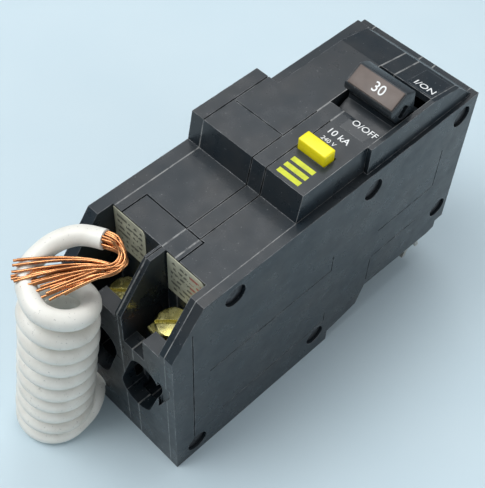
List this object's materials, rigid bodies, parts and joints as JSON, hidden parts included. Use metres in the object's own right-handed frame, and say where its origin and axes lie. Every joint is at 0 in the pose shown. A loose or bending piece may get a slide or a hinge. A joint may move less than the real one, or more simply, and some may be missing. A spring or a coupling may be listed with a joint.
{
  "type": "gfci breaker",
  "caption": "Two-pole plug-on ground-fault circuit breaker with a single handle, a yellow test button and a coiled white neutral pigtail.",
  "frame": {"origin": "centre of the bounding box of the breaker without its pigtail, on the mounting face", "axes": "+X from the load terminals to the line jaws, +Y from the handle's pole to the far pole, +Z out of the panel, through the handle"},
  "size_m": [0.1267, 0.0441, 0.08],
  "materials": {
    "case": "glossy black phenolic moulding",
    "handle_plastic": "black moulding",
    "plate": "taupe-brown plate with a plain white number",
    "button": "yellow moulding",
    "paper_label": "off-white film",
    "rivet_steel": "dark steel",
    "yellow_zinc": "yellow zinc plating",
    "copper": "bare copper",
    "tinned_jaw": "tinned copper",
    "steel": "plain steel",
    "trip_plastic": "moulding",
    "board": "laminate",
    "winding": "varnished winding",
    "components": "moulded components",
    "wire_sleeve": "ivory-white insulation"
  },
  "bodies": {
    "case": {"near_side_cover": "case", "near_case": "case", "pole_divider": "case", "far_case": "case", "far_side_cover": "case", "terminal_insert": "case", "near_terminal_label": "paper_label", "far_terminal_label": "paper_label", "case_rivets": "rivet_steel", "near_load_strap": "copper", "far_load_strap": "copper", "near_line_strap": "copper", "far_line_strap": "copper", "pigtail_strands": "copper", "near_line_jaw": "tinned_jaw", "far_line_jaw": "tinned_jaw", "handle_pin": "steel", "arm_pin": "steel", "cradle_pin": "steel", "near_arc_plates": "steel", "far_arc_plates": "steel", "near_magnet_yoke": "steel", "far_magnet_yoke": "steel", "test_contact": "steel", "solenoid_frame": "steel", "near_bimetal": "steel", "far_bimetal": "steel", "circuit_board": "board", "solenoid_winding": "winding", "sensing_transformer": "winding", "surge_varistor": "components", "control_chip": "components", "filter_capacitor": "components", "pigtail_lead": "wire_sleeve", "pigtail_coil": "wire_sleeve", "pigtail_top_loop": "wire_sleeve"},
    "handle_body": {"handle": "handle_plastic", "handle_rating_plate": "plate"},
    "contact_arms": {"near_moving_arm": "copper", "far_moving_arm": "copper"},
    "cradle_body": {"cradle": "steel"},
    "trip_bar_body": {"trip_bar": "trip_plastic"},
    "plunger_body": {"solenoid_plunger": "steel"},
    "button_body": {"test_button": "button", "test_button_spring": "steel"},
    "near_screw_body": {"near_terminal_screw": "yellow_zinc"},
    "far_screw_body": {"far_terminal_screw": "yellow_zinc"},
    "near_plate_body": {"near_pressure_plate": "yellow_zinc"},
    "far_plate_body": {"far_pressure_plate": "yellow_zinc"}
  },
  "joints": [
    {"name": "handle_swing", "type": "hinge", "parent": "case", "child": "handle_body", "pos_m": [0.0245, 0, 0.058], "axis": [0, 1, 0], "range_deg": [-15, 20]},
    {"name": "contact_arm_swing", "type": "hinge", "parent": "case", "child": "contact_arms", "pos_m": [0.0255, 0, 0.05], "axis": [0, 1, 0], "range_deg": [-11, 8.25]},
    {"name": "cradle_release", "type": "hinge", "parent": "case", "child": "cradle_body", "pos_m": [0.004, -0.00975, 0.054], "axis": [0, 1, 0], "range_deg": [0, 15]},
    {"name": "plunger_pull", "type": "slide", "parent": "case", "child": "plunger_body", "axis": [-1, 0, 0], "range_m": [0, 0.002]},
    {"name": "trip_bar_turn", "type": "hinge", "parent": "case", "child": "trip_bar_body", "pos_m": [-0.002, 0, 0.03], "axis": [0, 1, 0], "range_deg": [0, 13.6]},
    {"name": "test_button_press", "type": "slide", "parent": "case", "child": "button_body", "axis": [0, 0, -1], "range_m": [0, 0.0015], "stiffness_N_per_m": 900, "springref_m": -0.0006, "deforming": ["test_button_spring"]},
    {"name": "near_screw_turn", "type": "hinge", "parent": "near_plate_body", "child": "near_screw_body", "pos_m": [-0.0428, -0.00925, 0.044], "axis": [0, 0, -1], "range_deg": [0, 2495]},
    {"name": "near_plate_travel", "type": "slide", "parent": "case", "child": "near_plate_body", "axis": [0, 0, -1], "range_m": [0, 0.0055]},
    {"name": "far_screw_turn", "type": "hinge", "parent": "far_plate_body", "child": "far_screw_body", "pos_m": [-0.0428, 0.00775, 0.044], "axis": [0, 0, -1], "range_deg": [-2495, 0]},
    {"name": "far_plate_travel", "type": "slide", "parent": "case", "child": "far_plate_body", "axis": [0, 0, -1], "range_m": [-0.0055, 0]}
  ],
  "couplings": [
    {"joint": "contact_arm_swing", "follows": "handle_swing", "ratio": -0.55},
    {"joint": "trip_bar_turn", "follows": "plunger_pull", "rad_per_m": 117.6},
    {"joint": "near_screw_turn", "follows": "near_plate_travel", "rad_per_m": 7913.3},
    {"joint": "far_screw_turn", "follows": "far_plate_travel", "rad_per_m": 7913.3}
  ]
}
